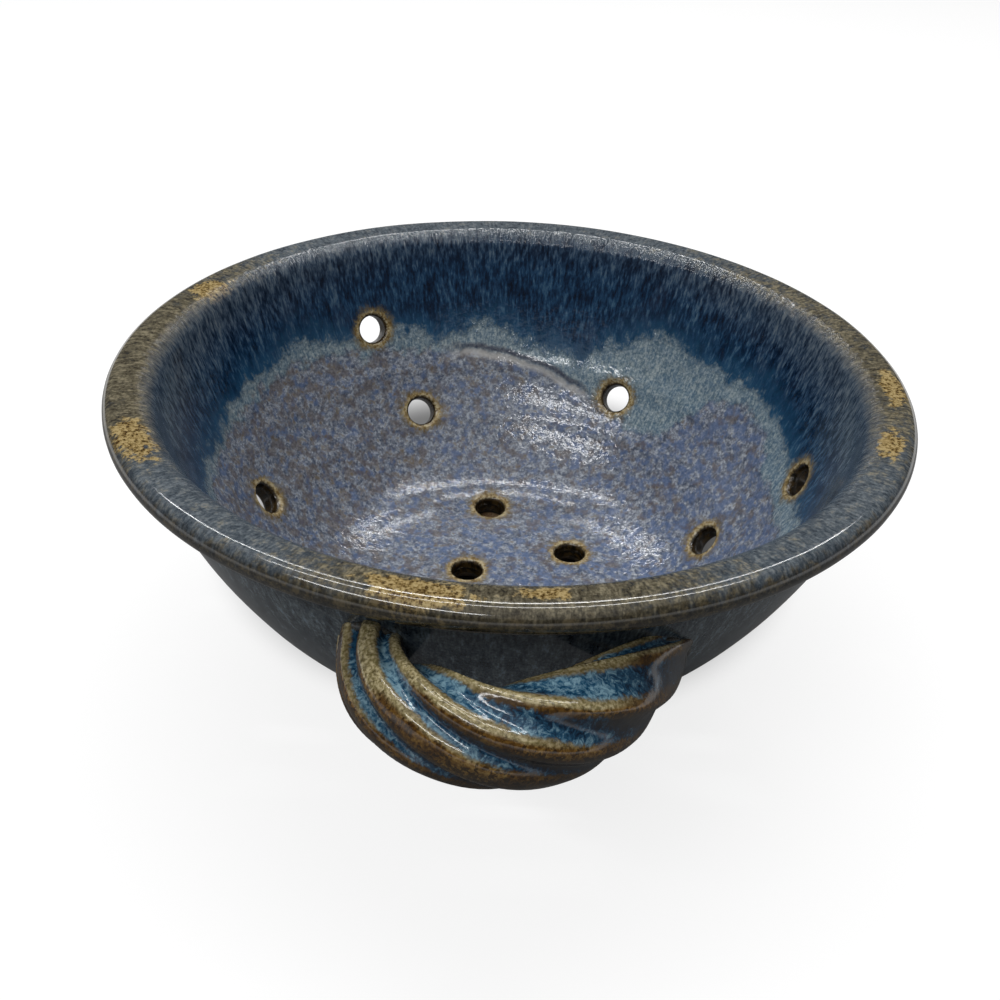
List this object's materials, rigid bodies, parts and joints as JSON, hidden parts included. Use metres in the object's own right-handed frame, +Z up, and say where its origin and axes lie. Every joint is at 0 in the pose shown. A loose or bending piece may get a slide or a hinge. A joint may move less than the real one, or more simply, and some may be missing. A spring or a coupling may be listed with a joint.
{
  "type": "berry colander bowl",
  "caption": "Round glazed stoneware bowl with a rolled rim, drain holes scattered through floor and wall, a foot ring and a fluted, twisted lug handle under the rim.",
  "frame": {"origin": "middle of the foot ring's resting face, on the bowl's axis", "axes": "+Z up along the bowl's axis, -Y towards the handle, +X to the right with the handle in front"},
  "size_m": [0.2, 0.2186, 0.0835],
  "materials": {
    "bowl_glaze": "gloss",
    "bare_clay": "matte",
    "handle_glaze": "gloss",
    "seam_glaze": "gloss"
  },
  "bodies": {
    "root": {"bowl_body": "bowl_glaze", "foot_ring": "bare_clay", "twisted_handle": "handle_glaze", "left_luting_coil": "seam_glaze", "right_luting_coil": "seam_glaze"}
  },
  "joints": []
}
